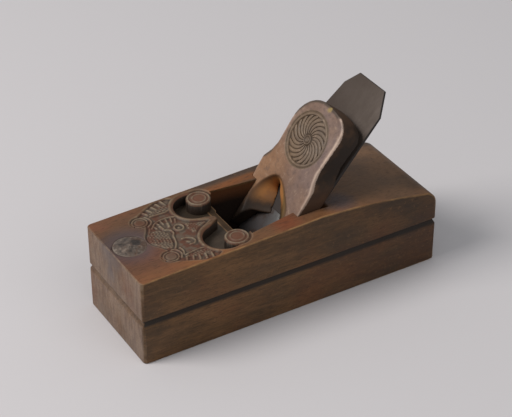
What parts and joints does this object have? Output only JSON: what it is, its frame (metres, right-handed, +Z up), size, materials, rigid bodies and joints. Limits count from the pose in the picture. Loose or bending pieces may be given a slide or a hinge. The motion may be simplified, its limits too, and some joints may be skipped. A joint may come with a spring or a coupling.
{
  "type": "block plane",
  "caption": "Wooden block plane with carved toe, forked wedge with a rosette, single iron and strike button; takes shavings off wood held in one hand.",
  "frame": {"origin": "centre of the sole's rectangle", "axes": "+X along the length towards the heel, +Z up from the sole, +Y across"},
  "size_m": [0.1768, 0.06, 0.1029],
  "materials": {
    "stock_wood": "waxed and worn, dark brown",
    "wedge_wood": "handled smooth, pale brown",
    "wrought_iron": "forged, brown-grey",
    "tool_steel": "ground",
    "button_iron": "hammered dome"
  },
  "bodies": {
    "stock": {"stock": "stock_wood", "strike_button": "button_iron"},
    "wedge": {"wedge": "wedge_wood"},
    "iron": {"iron": "wrought_iron", "cutting_steel": "tool_steel"}
  },
  "joints": [
    {"name": "iron_slide", "type": "slide", "parent": "stock", "child": "iron", "axis": [0.6561, 0, 0.7547], "range_m": [-0.0008, 0.045]},
    {"name": "wedge_slide", "type": "slide", "parent": "stock", "child": "wedge", "axis": [0.6561, 0, 0.7547], "range_m": [0, 0.045]}
  ]
}
